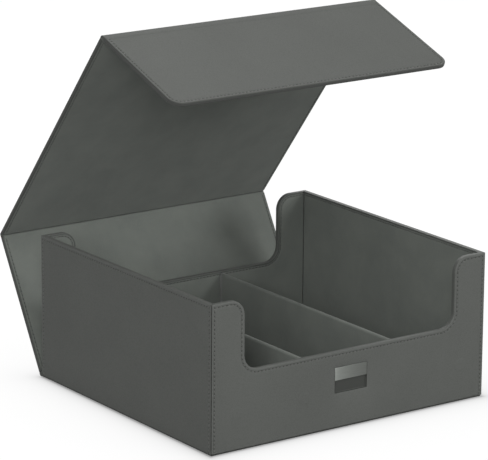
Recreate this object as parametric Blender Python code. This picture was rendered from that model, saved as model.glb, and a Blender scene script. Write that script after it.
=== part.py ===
# Card storage case: a stitched board tray with three card rows, and one wrap-around cover
# of three stiff panels joined by folds, which stands open.
# Metres, +Z up. The origin is the centre of the tray's underside, and the front faces -Y.

import math

import bmesh
import bpy

MM = 0.001

# Tray, outside
TRAY_WIDTH = 268.0 * MM
TRAY_DEPTH = 244.0 * MM
TRAY_HEIGHT = 121.0 * MM

# Layers of a wall and of a cover panel, from the outside in
SKIN = 0.6 * MM
WALL_BOARD = 2.4 * MM
COVER_BOARD = 1.8 * MM
LINING = 0.6 * MM
STRAP_SKIN = 0.8 * MM
FIT = 0.3 * MM
EDGE_ROUND = 0.5 * MM
EDGE_LIMIT_SHARE = 0.85

# Cut-out in the front and rear walls, between two posts
POST_WIDTH = 31.2 * MM
CUT_BOTTOM = 63.4 * MM
CUT_RADIUS = 13.0 * MM

# Row dividers, which run from front to back
DIVIDER_TOP = 62.0 * MM
DIVIDER_BOARD = 2.0 * MM
DIVIDER_NAMES = ("left_divider", "right_divider")

# Shallow recess with a plain metal plate, on the front wall
RECESS_WIDTH = 31.6 * MM
RECESS_HEIGHT = 21.3 * MM
RECESS_CENTRE_Z = 39.9 * MM
RECESS_DEPTH = 2.0 * MM
RECESS_SHELL = 0.5 * MM
PLATE_HEIGHT = 9.9 * MM
PLATE_THICKNESS = 0.8 * MM
PLATE_EDGE = 0.2 * MM

# Closing magnets, in pairs, front wall against flap
MAGNET_RADIUS = 5.0 * MM
MAGNET_THICKNESS = 1.5 * MM
MAGNET_EDGE = 0.2 * MM
MAGNET_Z = 30.5 * MM
MAGNET_FROM_RECESS = 29.2 * MM
MAGNET_FROM_SIDE = 24.0 * MM

# Cover
CLOSED_GAP = 0.4 * MM
LID_GAP = 0.6 * MM
FLAP_RISE = 17.0 * MM
FLAP_RADIUS = 11.0 * MM
FOLD_CORNER_RADIUS = 1.2 * MM
TONGUE_LENGTH = 12.0 * MM

# Angles of the open cover: each panel against the one before, 90 degrees when closed
BACK_ANGLE = 60.25
TOP_ANGLE = 68.51
FLAP_ANGLE = 71.07
STRAP_FIRST_ANGLE = -140.0
STRAP_LAST_ANGLE = 50.0
REAR_STRAP_LAST_ANGLE = 60.0

# Cuts run this far past the faces that they open
OVERRUN = 1.0 * MM

# Facets
ARC_STEPS = 8
ROUND_STEPS = 2
STRAP_STEPS = 14
MAGNET_SIDES = 32
SMOOTH_ANGLE = 40.0
WELD = 0.001 * MM

# Worked out from the sizes above
LAYER_INSET = SKIN + FIT
WALL = SKIN + FIT + WALL_BOARD + FIT + LINING
PANEL = SKIN + FIT + COVER_BOARD + FIT + LINING
SEAM = FIT * math.sqrt(0.5)
WALL_FOOT = STRAP_SKIN + FIT
FLOOR_BOARD_TOP = WALL_FOOT + WALL_BOARD
FLOOR_TOP = FLOOR_BOARD_TOP + FIT + LINING
HALF_CUT = TRAY_WIDTH / 2 - POST_WIDTH
DIVIDER = DIVIDER_BOARD + 2 * (FIT + LINING)
DIVIDER_COUNT = len(DIVIDER_NAMES)
ROW_WIDTH = (TRAY_WIDTH - 2 * WALL - DIVIDER_COUNT * DIVIDER) / (DIVIDER_COUNT + 1)
REAR_FOLD_Y = TRAY_DEPTH / 2 + CLOSED_GAP + PANEL / 2
REAR_FOLD_Z = PANEL / 2
BACK_LENGTH = TRAY_HEIGHT + LID_GAP + PANEL / 2 - REAR_FOLD_Z
TOP_LENGTH = TRAY_DEPTH + 2 * CLOSED_GAP + PANEL
FLAP_LENGTH = TRAY_HEIGHT + LID_GAP + PANEL / 2 - FLAP_RISE
FOLD_END = PANEL / 2 + FIT

# Finishes: base colour (linear), roughness, metallic
FINISHES = {
    "leatherette": ((0.114, 0.120, 0.110), 0.62, 0.0),
    "lining": ((0.062, 0.066, 0.060), 0.92, 0.0),
    "greyboard": ((0.260, 0.245, 0.215), 0.95, 0.0),
    "brushed_metal": ((0.560, 0.580, 0.560), 0.34, 1.0),
    "dark_recess": ((0.045, 0.048, 0.045), 0.45, 0.0),
    "magnet": ((0.620, 0.615, 0.600), 0.28, 1.0),
}


def clear_scene():
    for obj in list(bpy.data.objects):
        bpy.data.objects.remove(obj)


def finish(obj, kind):
    # Each piece has a material of its own, in one of the finishes.
    colour, roughness, metallic = FINISHES[kind]
    material = bpy.data.materials.new(obj.name + "_" + kind)
    material.use_nodes = True
    shader = material.node_tree.nodes["Principled BSDF"]
    shader.inputs["Base Color"].default_value = (*colour, 1.0)
    shader.inputs["Roughness"].default_value = roughness
    shader.inputs["Metallic"].default_value = metallic
    obj.data.materials.append(material)


def object_from(name, shape, kind=None):
    bmesh.ops.remove_doubles(shape, verts=shape.verts, dist=WELD)
    bmesh.ops.recalc_face_normals(shape, faces=shape.faces)
    mesh = bpy.data.meshes.new(name)
    shape.to_mesh(mesh)
    shape.free()
    obj = bpy.data.objects.new(name, mesh)
    bpy.context.scene.collection.objects.link(obj)
    if kind:
        finish(obj, kind)
    return obj


def arc(centre_u, centre_v, radius, first, last, steps=ARC_STEPS):
    # Points of a circular arc from the first to the last angle in degrees, ends included.
    points = []
    for step in range(steps + 1):
        angle = math.radians(first + (last - first) * step / steps)
        points.append((centre_u + radius * math.cos(angle), centre_v + radius * math.sin(angle)))
    return points


def loft(name, kind, outline, sections, place):
    # A closed solid through a stack of outlines. A section is (depth, inset).
    shape = bmesh.new()
    loops = []
    for depth, inset in sections:
        loops.append([shape.verts.new(place(u, v, depth)) for u, v in outline(inset, depth)])
    for near, far in zip(loops, loops[1:]):
        for i in range(len(near)):
            j = (i + 1) % len(near)
            shape.faces.new((near[i], near[j], far[j], far[i]))
    shape.faces.new(loops[0])
    shape.faces.new(loops[-1])
    return object_from(name, shape, kind)


def prism(name, kind, profile, half_length, place):
    # A profile carried straight along its length, half to each side.
    shape = bmesh.new()
    face = shape.faces.new([shape.verts.new(place(u, v, -half_length)) for u, v in profile])
    moved = bmesh.ops.extrude_face_region(shape, geom=[face])
    near = place(0, 0, -half_length)
    far = place(0, 0, half_length)
    step = [b - a for a, b in zip(near, far)]
    verts = [part for part in moved["geom"] if isinstance(part, bmesh.types.BMVert)]
    bmesh.ops.translate(shape, verts=verts, vec=step)
    return object_from(name, shape, kind)


def slab(name, kind, low, high):
    # A rectangular block between two opposite corners.
    shape = bmesh.new()
    bmesh.ops.create_cube(shape, size=1)
    for vert in shape.verts:
        vert.co = [b if c > 0 else a for a, b, c in zip(low, high, vert.co)]
    return object_from(name, shape, kind)


def cut(obj, cutter):
    # Takes the cutter's space out of the object and hides the cutter.
    cutter.hide_render = True
    cutter.display_type = "WIRE"
    boolean = obj.modifiers.new("cut_" + cutter.name, "BOOLEAN")
    boolean.operation = "DIFFERENCE"
    boolean.solver = "EXACT"
    boolean.object = cutter


def soften(obj, width):
    bevel = obj.modifiers.new("edges", "BEVEL")
    bevel.width = width
    bevel.segments = ROUND_STEPS
    bevel.limit_method = "ANGLE"


def pan_sections(total):
    # An open pan: a rounded outer face, turned edges, and a pocket for the board and lining.
    edge = min(EDGE_ROUND, SKIN * EDGE_LIMIT_SHARE)
    sections = []
    for step in range(ROUND_STEPS + 1):
        angle = math.radians(90 * step / ROUND_STEPS)
        sections.append((edge * (1 - math.cos(angle)), edge * (1 - math.sin(angle))))
    sections += [(total, 0), (total, SKIN), (SKIN, SKIN)]
    return sections


def sheet_sections(first_depth, thickness):
    return [(first_depth, LAYER_INSET), (first_depth + thickness, LAYER_INSET)]


def wall_outline(half_width, has_cut):
    # Front view of a wall. Its ends are mitred at 45 degrees, so it narrows with depth.
    def outline(inset, depth):
        side = half_width - inset - depth - SEAM
        low = WALL_FOOT + inset
        high = TRAY_HEIGHT - inset
        points = [(-side, low), (side, low), (side, high)]
        if has_cut:
            shoulder = HALF_CUT + CUT_RADIUS
            shoulder_z = TRAY_HEIGHT - CUT_RADIUS
            cheek = HALF_CUT - CUT_RADIUS
            cheek_z = CUT_BOTTOM + CUT_RADIUS
            points += arc(shoulder, shoulder_z, CUT_RADIUS - inset, 90, 180)
            points += arc(cheek, cheek_z, CUT_RADIUS + inset, 0, -90)
            points += arc(-cheek, cheek_z, CUT_RADIUS + inset, 270, 180)
            points += arc(-shoulder, shoulder_z, CUT_RADIUS - inset, 0, 90)
        points.append((-side, high))
        return points
    return outline


def panel_outline(start, end, far_radius):
    # Plan of a cover panel, from its fold at the start to its far end.
    def outline(inset, depth):
        half = TRAY_WIDTH / 2 - inset
        near = max(FOLD_CORNER_RADIUS - inset, 0)
        far = max(far_radius - inset, 0)
        low = start + inset
        high = end - inset
        points = arc(half - far, high - far, far, 0, 90)
        points += arc(far - half, high - far, far, 90, 180)
        points += arc(near - half, low + near, near, 180, 270)
        points += arc(half - near, low + near, near, 270, 360)
        return points
    return outline


def on_wall(u, v, depth):
    return (u, depth, v)


def on_panel(u, v, depth):
    return (u, v, depth - PANEL / 2)


def along_x(u, v, length):
    return (length, u, v)


def along_y(u, v, length):
    return (u, length, v)


def disc(name, kind, radius, thickness, centre, turn):
    # A flat round disc. Its axis is Z, or Y where it is turned by 90 degrees about X.
    shape = bmesh.new()
    bmesh.ops.create_cone(shape, cap_ends=True, segments=MAGNET_SIDES, radius1=radius,
                          radius2=radius, depth=thickness)
    obj = object_from(name, shape, kind)
    obj.location = centre
    obj.rotation_euler = (math.radians(turn), 0, 0)
    obj.data.shade_smooth()
    obj.data.set_sharp_from_angle(angle=math.radians(SMOOTH_ANGLE))
    return obj


def magnet_places():
    # Two magnets lie near the recess and two near the tray's sides.
    inner = RECESS_WIDTH / 2 + MAGNET_FROM_RECESS
    outer = TRAY_WIDTH / 2 - MAGNET_FROM_SIDE
    return [-outer, -inner, inner, outer]


def layered_wall(side, half_width, has_cut, location, turn):
    # One wall of the tray: leatherette pan, board and lining, set down and turned to its side.
    outline = wall_outline(half_width, has_cut)
    skin = loft(side + "_outer_skin", "leatherette", outline, pan_sections(WALL), on_wall)
    board = loft(side + "_wall_board", "greyboard", outline,
                 sheet_sections(LAYER_INSET, WALL_BOARD), on_wall)
    lining = loft(side + "_lining", "lining", outline,
                  sheet_sections(WALL - LINING, LINING), on_wall)
    for piece in (skin, board, lining):
        piece.location = location
        piece.rotation_euler = (0, 0, math.radians(turn))
    return skin, board


def tray_walls():
    half_width = TRAY_WIDTH / 2
    half_depth = TRAY_DEPTH / 2
    skin, board = layered_wall("front", half_width, True, (0, -half_depth, 0), 0)
    layered_wall("rear", half_width, True, (0, half_depth, 0), 180)
    layered_wall("left", half_depth, False, (-half_width, 0, 0), -90)
    layered_wall("right", half_depth, False, (half_width, 0, 0), 90)
    return skin, board


def tray_floor():
    half_width = TRAY_WIDTH / 2 - WALL - FIT
    half_depth = TRAY_DEPTH / 2 - WALL - FIT
    tongue_y = TRAY_DEPTH / 2 - TONGUE_LENGTH
    slab("underside_skin", "leatherette",
         (-TRAY_WIDTH / 2 + SEAM, -TRAY_DEPTH / 2 + SEAM, 0),
         (TRAY_WIDTH / 2 - SEAM, tongue_y - FIT, STRAP_SKIN))
    slab("base_board", "greyboard",
         (-half_width, -half_depth, WALL_FOOT), (half_width, half_depth, FLOOR_BOARD_TOP))
    slab("floor_lining", "lining",
         (-half_width, -half_depth, FLOOR_BOARD_TOP + FIT), (half_width, half_depth, FLOOR_TOP))


def row_divider(name, centre_x):
    # A board under a lining sleeve, which is folded over the board's top edge.
    half = DIVIDER / 2
    inside = half - LINING
    fold_z = DIVIDER_TOP - half
    foot = FLOOR_TOP + FIT
    half_length = TRAY_DEPTH / 2 - WALL - FIT
    profile = [(half, foot)] + arc(0, fold_z, half, 0, 180) + [(-half, foot)]
    profile += [(-inside, foot)] + arc(0, fold_z, inside, 180, 0) + [(inside, foot)]
    sleeve = prism(name + "_sleeve", "lining", profile, half_length, along_y)
    sleeve.location = (centre_x, 0, 0)
    board = slab(name + "_board", "greyboard",
                 (-DIVIDER_BOARD / 2, -half_length, foot), (DIVIDER_BOARD / 2, half_length, fold_z))
    board.location = (centre_x, 0, 0)


def row_dividers():
    pitch = ROW_WIDTH + DIVIDER
    for index, name in enumerate(DIVIDER_NAMES):
        row_divider(name, (index - (DIVIDER_COUNT - 1) / 2) * pitch)


def recess_and_plate(skin, board):
    # The recess is a shallow dark shell let into the front wall. The plate fills its upper half.
    half_width = RECESS_WIDTH / 2
    low = RECESS_CENTRE_Z - RECESS_HEIGHT / 2
    high = RECESS_CENTRE_Z + RECESS_HEIGHT / 2
    front = -TRAY_DEPTH / 2
    shell = slab("plate_recess", "dark_recess",
                 (-half_width, front, low), (half_width, front + RECESS_DEPTH, high))
    hollow = slab("recess_hollow", None,
                  (-half_width + RECESS_SHELL, front - OVERRUN, low + RECESS_SHELL),
                  (half_width - RECESS_SHELL, front + RECESS_DEPTH - RECESS_SHELL, high - RECESS_SHELL))
    cut(shell, hollow)
    pocket = slab("recess_pocket", None,
                  (-half_width - FIT, front - OVERRUN, low - FIT),
                  (half_width + FIT, front + RECESS_DEPTH + FIT, high + FIT))
    cut(skin, pocket)
    cut(board, pocket)
    plate_top = high - RECESS_SHELL - FIT
    plate_back = front + RECESS_DEPTH - RECESS_SHELL - FIT
    plate_half = half_width - RECESS_SHELL - FIT
    plate = slab("front_plate", "brushed_metal",
                 (-plate_half, plate_back - PLATE_THICKNESS, plate_top - PLATE_HEIGHT),
                 (plate_half, plate_back, plate_top))
    soften(plate, PLATE_EDGE)


def tray_magnets(board):
    middle_y = -TRAY_DEPTH / 2 + LAYER_INSET + WALL_BOARD / 2
    for index, x in enumerate(magnet_places()):
        place = (x, middle_y, MAGNET_Z)
        magnet = disc(f"tray_magnet_{index + 1}", "magnet", MAGNET_RADIUS, MAGNET_THICKNESS, place, 90)
        soften(magnet, MAGNET_EDGE)
        cut(board, disc(f"tray_magnet_hole_{index + 1}", None, MAGNET_RADIUS + FIT,
                        WALL_BOARD + 2 * OVERRUN, place, 90))


def pivot(name, parent, location, angle):
    # The fold's axis: an empty whose +Y runs along the panel that it carries.
    axis = bpy.data.objects.new(name, None)
    bpy.context.scene.collection.objects.link(axis)
    axis.parent = parent
    axis.location = location
    axis.rotation_euler = (math.radians(angle), 0, 0)
    return axis


def cover_panel(name, axis, end, far_radius):
    # One stiff panel of the cover: leatherette pan, board and lining, carried by its fold.
    outline = panel_outline(FOLD_END, end, far_radius)
    skin = loft(name + "_skin", "leatherette", outline, pan_sections(PANEL), on_panel)
    board = loft(name + "_board", "greyboard", outline,
                 sheet_sections(LAYER_INSET, COVER_BOARD), on_panel)
    lining = loft(name + "_lining", "lining", outline,
                  sheet_sections(PANEL - LINING, LINING), on_panel)
    for piece in (skin, board, lining):
        piece.parent = axis
    return board


def strap_profile(first, last):
    # Cross-section of the leatherette that is bent round a fold.
    outer = arc(0, 0, PANEL / 2, first, last, STRAP_STEPS)
    inner = arc(0, 0, PANEL / 2 - STRAP_SKIN, last, first, STRAP_STEPS)
    return outer, inner


def fold_strap(name, carrier, end):
    outer, inner = strap_profile(STRAP_FIRST_ANGLE, STRAP_LAST_ANGLE)
    strap = prism(name, "leatherette", outer + inner, TRAY_WIDTH / 2, along_x)
    strap.parent = carrier
    strap.location = (0, end, 0)


def rear_strap():
    # The rear fold's strap has a tongue, which is glued under the tray's rear wall.
    outer, inner = strap_profile(-90, REAR_STRAP_LAST_ANGLE)
    tongue = TRAY_DEPTH / 2 - TONGUE_LENGTH - REAR_FOLD_Y
    low = -PANEL / 2
    profile = [(tongue, low)] + outer + inner + [(tongue, low + STRAP_SKIN)]
    strap = prism("rear_fold_strap", "leatherette", profile, TRAY_WIDTH / 2, along_x)
    strap.location = (0, REAR_FOLD_Y, REAR_FOLD_Z)


def flap_magnets(board, axis):
    # When the case is closed, each one lies in front of a magnet of the tray.
    along = TRAY_HEIGHT + LID_GAP + PANEL / 2 - MAGNET_Z
    middle = LAYER_INSET + COVER_BOARD / 2 - PANEL / 2
    for index, x in enumerate(magnet_places()):
        place = (x, along, middle)
        magnet = disc(f"flap_magnet_{index + 1}", "magnet", MAGNET_RADIUS, MAGNET_THICKNESS, place, 0)
        soften(magnet, MAGNET_EDGE)
        hole = disc(f"flap_magnet_hole_{index + 1}", None, MAGNET_RADIUS + FIT,
                    COVER_BOARD + 2 * OVERRUN, place, 0)
        cut(board, hole)
        magnet.parent = axis
        hole.parent = axis


def cover():
    rear_strap()
    rear_axis = pivot("rear_fold_axis", None, (0, REAR_FOLD_Y, REAR_FOLD_Z), BACK_ANGLE)
    cover_panel("back_panel", rear_axis, BACK_LENGTH - FOLD_END, FOLD_CORNER_RADIUS)
    fold_strap("top_fold_strap", rear_axis, BACK_LENGTH)
    top_axis = pivot("top_fold_axis", rear_axis, (0, BACK_LENGTH, 0), TOP_ANGLE)
    cover_panel("top_panel", top_axis, TOP_LENGTH - FOLD_END, FOLD_CORNER_RADIUS)
    fold_strap("flap_fold_strap", top_axis, TOP_LENGTH)
    flap_axis = pivot("flap_fold_axis", top_axis, (0, TOP_LENGTH, 0), FLAP_ANGLE)
    flap_board = cover_panel("flap", flap_axis, FLAP_LENGTH, FLAP_RADIUS)
    flap_magnets(flap_board, flap_axis)


def main():
    clear_scene()
    front_skin, front_board = tray_walls()
    tray_floor()
    row_dividers()
    recess_and_plate(front_skin, front_board)
    tray_magnets(front_board)
    cover()


main()
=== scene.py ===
import math

import bpy
import numpy as np
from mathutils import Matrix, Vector
from mathutils.geometry import delaunay_2d_cdt


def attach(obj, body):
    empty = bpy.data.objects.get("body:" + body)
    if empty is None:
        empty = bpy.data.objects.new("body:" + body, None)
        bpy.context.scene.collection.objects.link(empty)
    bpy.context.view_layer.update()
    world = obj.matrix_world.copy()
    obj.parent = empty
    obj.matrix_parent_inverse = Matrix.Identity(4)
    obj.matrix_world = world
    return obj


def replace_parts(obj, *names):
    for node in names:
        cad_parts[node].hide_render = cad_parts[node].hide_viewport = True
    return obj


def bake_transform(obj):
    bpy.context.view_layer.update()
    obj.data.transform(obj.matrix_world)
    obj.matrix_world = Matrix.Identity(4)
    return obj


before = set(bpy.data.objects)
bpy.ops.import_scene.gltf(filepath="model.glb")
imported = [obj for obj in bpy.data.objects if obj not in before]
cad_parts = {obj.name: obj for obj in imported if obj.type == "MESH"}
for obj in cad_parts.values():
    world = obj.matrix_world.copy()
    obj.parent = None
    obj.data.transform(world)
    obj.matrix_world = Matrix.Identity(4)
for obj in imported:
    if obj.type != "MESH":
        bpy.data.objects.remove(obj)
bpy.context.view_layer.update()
print("case frame loaded:", len(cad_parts), "nodes")

mm = 0.001  # every shape below is worked out in millimetres

# the photo's camera
photoCamera = {"place": (-1.4604, -2.0241, 0.8052), "turn": (74.9139, -0.3882, -35.3812),  # metres, degrees
               "lens": 236.04, "sensor": 36.0}

cameraData = bpy.data.cameras.new("photoCamera")
cameraData.lens = photoCamera["lens"]
cameraData.sensor_width = photoCamera["sensor"]
camera = bpy.data.objects.new("photoCamera", cameraData)
camera.location = photoCamera["place"]
camera.rotation_euler = [math.radians(a) for a in photoCamera["turn"]]
bpy.context.scene.collection.objects.link(camera)
bpy.context.scene.camera = camera
bpy.context.scene.view_settings.view_transform = "Standard"

# sizes shared by the pieces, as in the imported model
case = {
    "width": 268.0, "depth": 244.0, "height": 121.0,
    "wall": 4.2, "panel": 3.6,   # skin, board and lining together
    "foot": 1.1,                 # underside of the walls
    "seam": 0.212,               # half of the open mitre at a corner
    "post": 31.2, "cutFloor": 63.4, "cutRadius": 13.0,
    "flapRadius": 11.0,
    "overRim": 0.6, "toFold": 0.3,  # gaps: the closed lid's over the rim, and each panel's before its fold
}
stitching = {
    "pitch": 3.4, "fromEdge": 2.8,   # measured on the photographed corner
    "groove": 0.24, "hole": 0.42,    # how deep the thread line and the needle holes lie
    "holeShare": (1.0, 0.72, 0.0, 0.0, 0.0, 0.72),  # a needle hole's share in each mesh column of a stitch
    "holeFrom": 0.35, "paintedGrooveShade": 0.12,  # the groove's share where holes begin, and how much painted shade it holds
    "thread": 0.44, "shown": (0.14, 0.86),  # half width, and the part of a stitch where thread shows
    "sunk": 0.42, "arch": 0.37, "flat": 0.6,  # depth at its ends, rise between them, height to width
    "plainStep": 9.0,                # between the points of an edge that isn't sewn
}
magnets = {"across": (-110.0, -45.0, 45.0, 110.0), "height": 30.5, "radius": 5.0, "mark": 0.15, "fade": 1.3}
folds = {  # axis (y, z), direction of the panel before it and after it, in degrees
    "rear": {"axis": (124.2, 1.8), "before": 0.0, "after": 60.25},
    "top": {"axis": (184.54, 107.373), "before": 60.25, "after": 128.76},
    "flap": {"axis": (29.027, 301.069), "before": 128.76, "after": 199.83},
}
panelReach = {"back_panel": 121.6, "top_panel": 248.4, "flap": 106.4}  # along each panel from its fold's axis


def linear(code):
    # an sRGB hex colour turned to linear
    levels = [int(code[i:i + 2], 16) / 255 for i in (1, 3, 5)]
    return tuple(v / 12.92 if v <= 0.04045 else ((v + 0.055) / 1.055) ** 2.4 for v in levels) + (1.0,)


def addNode(tree, kind, feeds=(), output=None, **settings):
    # A shader node with its settings and what feeds it, sockets or values, by name or in its inputs'
    # order. Gives the output that is asked for, or else the node.
    node = tree.nodes.new("ShaderNode" + kind)
    for key, value in settings.items():
        setattr(node, key, value)
    for socket, source in (feeds if isinstance(feeds, dict) else dict(enumerate(feeds))).items():
        if isinstance(source, bpy.types.NodeSocket):
            tree.links.new(source, node.inputs[socket])
        else:
            node.inputs[socket].default_value = source
    return node if output is None else node.outputs[output]


def startMaterial(name):
    material = bpy.data.materials.new(name)
    material.use_nodes = True
    tree = material.node_tree
    tree.nodes.clear()
    place = addNode(tree, "TexCoord", output="Object")
    return material, tree, place


def finishMaterial(tree, shaderFeeds, bumpHeight, bumpDistance):
    normal = addNode(tree, "Bump", {"Height": bumpHeight, "Distance": bumpDistance, "Strength": 1.0}, "Normal")
    shader = addNode(tree, "BsdfPrincipled", dict(shaderFeeds, Normal=normal), "BSDF")
    addNode(tree, "OutputMaterial", {"Surface": shader})


# A Mix node's two colours are its inputs 6 and 7, and the mixed one its output 2. A MapRange node takes a
# value, the two ends of its range and the two ends of the new one.
leatherette = {"colour": "#555754", "valley": "#494b48", "worn": "#5c5e5b", "hole": "#242523",
               "cell": 0.95, "fine": 0.35, "blotch": 70.0, "relief": 0.045}  # the last four in mm; hole is the colour of painted shade in needle holes, the stitch groove, dark edges, folds and creases


def rolledLeatherette():
    # Polyurethane-coated cloth, embossed by a roller with a fine pebble and finished matt:
    # low rounded grains, a broad dull highlight, and a little polish where it bends over an edge.
    material, tree, place = startMaterial("rolledLeatherette")
    grain = addNode(tree, "TexVoronoi", {"Vector": place, "Scale": 1 / (leatherette["cell"] * mm),
                    "Smoothness": 0.6, "Randomness": 0.9}, "Distance", feature="SMOOTH_F1")
    fine = addNode(tree, "TexNoise", {"Vector": place, "Scale": 1 / (leatherette["fine"] * mm),
                   "Detail": 3.0, "Roughness": 0.6}, "Fac")
    cloud = addNode(tree, "TexNoise", {"Vector": place, "Scale": 1 / (leatherette["blotch"] * mm),
                    "Detail": 4.0, "Roughness": 0.55}, "Fac")
    worn, pit = (addNode(tree, "Attribute", (), "Fac", attribute_name=key) for key in ("worn", "pit"))
    valley = addNode(tree, "MapRange", (grain, 0.25, 0.75, 0.0, 0.55), 0)
    body = addNode(tree, "Mix", {0: valley, 6: linear(leatherette["colour"]), 7: linear(leatherette["valley"])},
                   2, data_type="RGBA")
    tone = addNode(tree, "MapRange", (cloud, 0.3, 0.7, 0.94, 1.06), 0)
    toned = addNode(tree, "VectorMath", {0: body, "Scale": tone}, 0, operation="SCALE")
    uneven = addNode(tree, "MapRange", (fine, 0.3, 0.7, 0.55, 1.0), 0)
    rubbed = addNode(tree, "Math", (worn, uneven), 0, operation="MULTIPLY")
    edged = addNode(tree, "Mix", {0: rubbed, 6: toned, 7: linear(leatherette["worn"])}, 2, data_type="RGBA")
    # painted shade: the pit attribute darkens holes, the groove, dark edges, fold lines and creases
    holed = addNode(tree, "Mix", {0: pit, 6: edged, 7: linear(leatherette["hole"])}, 2, data_type="RGBA")
    dull = addNode(tree, "MapRange", (fine, 0.3, 0.7, 0.58, 0.70), 0)
    polish = addNode(tree, "MapRange", (worn, 0.0, 1.0, 0.0, 0.10), 0)
    rough = addNode(tree, "Math", (dull, polish), 0, operation="SUBTRACT")
    pebble = addNode(tree, "MapRange", (grain, 0.0, 1.0, 1.0, 0.0), 0)
    wrinkle = addNode(tree, "MapRange", (fine, 0.0, 1.0, 0.0, 0.35), 0)
    height = addNode(tree, "Math", (pebble, wrinkle), 0, operation="ADD")
    finishMaterial(tree, {"Base Color": holed, "Roughness": rough, "Specular IOR Level": 0.3, "IOR": 1.5},
                   height, leatherette["relief"] * mm)
    return material


suede = {"colour": "#70746f", "shade": "#676b67", "tip": "#7b8079",
         "nap": 0.45, "brush": 27.0, "sway": 60.0, "bend": 0.03, "relief": 0.06}  # bend in metres, the rest in mm


def brushedSuede():
    # Microfibre suede: short dense nap, no highlight, and cloudy patches where the nap has been
    # brushed one way or the other.
    material, tree, place = startMaterial("brushedSuede")
    warp = addNode(tree, "TexNoise", {"Vector": place, "Scale": 1 / (suede["sway"] * mm), "Detail": 2.0}, "Color")
    bent = addNode(tree, "VectorMath", (warp, (suede["bend"],) * 3, place), 0, operation="MULTIPLY_ADD")
    cloud = addNode(tree, "TexNoise", {"Vector": bent, "Scale": 1 / (suede["brush"] * mm),
                    "Detail": 5.0, "Roughness": 0.58}, "Fac")
    nap = addNode(tree, "TexNoise", {"Vector": place, "Scale": 1 / (suede["nap"] * mm),
                  "Detail": 4.0, "Roughness": 0.7}, "Fac")
    brushed = addNode(tree, "MapRange", (cloud, 0.34, 0.66, 0.0, 1.0), 0)
    patches = addNode(tree, "Mix", {0: brushed, 6: linear(suede["shade"]), 7: linear(suede["colour"])},
                      2, data_type="RGBA")
    raised = addNode(tree, "MapRange", (nap, 0.4, 0.75, 0.0, 0.5), 0)
    tips = addNode(tree, "Mix", {0: raised, 6: patches, 7: linear(suede["tip"])}, 2, data_type="RGBA")
    pit = addNode(tree, "Attribute", (), "Fac", attribute_name="pit")
    # painted shade: the pit attribute darkens holes, the groove, dark edges and creases
    holed = addNode(tree, "Mix", {0: pit, 6: tips, 7: linear(leatherette["hole"])}, 2, data_type="RGBA")
    rough = addNode(tree, "MapRange", (nap, 0.3, 0.7, 0.86, 0.98), 0)
    finishMaterial(tree, {"Base Color": holed, "Roughness": rough, "Specular IOR Level": 0.2,
                          "Sheen Weight": 0.15, "Sheen Roughness": 0.45}, nap, suede["relief"] * mm)
    return material


polyester = {"low": "#4d4f4c", "high": "#60625e", "ply": 0.9, "relief": 0.04}  # ply and relief in mm


def bondedThread():
    # Bonded polyester sewing thread, dyed to the leatherette: a slight silky gloss on two twisted plies.
    material, tree, place = startMaterial("bondedThread")
    plies = addNode(tree, "TexWave", {"Vector": place, "Scale": 1 / (polyester["ply"] * mm),
                    "Distortion": 1.2, "Detail": 1.0}, "Fac", wave_type="BANDS", bands_direction="DIAGONAL")
    colour = addNode(tree, "Mix", {0: plies, 6: linear(polyester["low"]), 7: linear(polyester["high"])},
                     2, data_type="RGBA")
    rough = addNode(tree, "MapRange", (plies, 0.0, 1.0, 0.62, 0.48), 0)
    finishMaterial(tree, {"Base Color": colour, "Roughness": rough, "Specular IOR Level": 0.4},
                   plies, polyester["relief"] * mm)
    return material


nickel = {"left": ("#949994", "#a5a9a4"), "right": ("#5c5e5b", "#6f726e"),  # dark and light lines at each end; bright at the left, dark at the right, a painted reflection
          "line": 0.35, "stretch": 0.035, "half": 15.5, "fade": 0.28, "relief": 0.012}


def brushedNickel():
    # Nickel-plated steel tag, brushed from side to side before plating and left bare: fine lengthwise
    # scratches and a soft streaked reflection, painted into its colour. The real lines are 0.05 mm wide;
    # these are drawn 0.35 mm. The painted reflection falls off from its bright left end by a power law.
    material, tree, place = startMaterial("brushedNickel")
    along = addNode(tree, "Mapping", {"Vector": place, "Scale": (nickel["stretch"], 1.0, 1.0)}, "Vector")
    lines = addNode(tree, "TexNoise", {"Vector": along, "Scale": 1 / (nickel["line"] * mm),
                    "Detail": 5.0, "Roughness": 0.65}, "Fac")
    x, half = addNode(tree, "SeparateXYZ", (place,), "X"), nickel["half"] * mm
    # painted reflection: the colour brightens towards the plate's left end
    sweep = addNode(tree, "MapRange", (x, -half, half, 0.0, 1.0), 0)
    paintedReflectionFalloff = addNode(tree, "Math", (sweep, nickel["fade"]), 0, operation="POWER")
    dark, light = (addNode(tree, "Mix", {0: paintedReflectionFalloff, 6: linear(a), 7: linear(b)}, 2, data_type="RGBA")
                   for a, b in zip(nickel["left"], nickel["right"]))
    streak = addNode(tree, "MapRange", (lines, 0.35, 0.65, 0.0, 0.5), 0)
    streaked = addNode(tree, "Mix", {0: streak, 6: dark, 7: light}, 2, data_type="RGBA")
    rough = addNode(tree, "MapRange", (lines, 0.3, 0.7, 0.30, 0.46), 0)
    finishMaterial(tree, {"Base Color": streaked, "Metallic": 1.0, "Roughness": rough, "Anisotropic": 0.5},
                   lines, nickel["relief"] * mm)
    return material


plastic = {"low": "#2f312e", "high": "#3a3c39", "spark": 0.25, "relief": 0.02}  # spark and relief in mm


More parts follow.
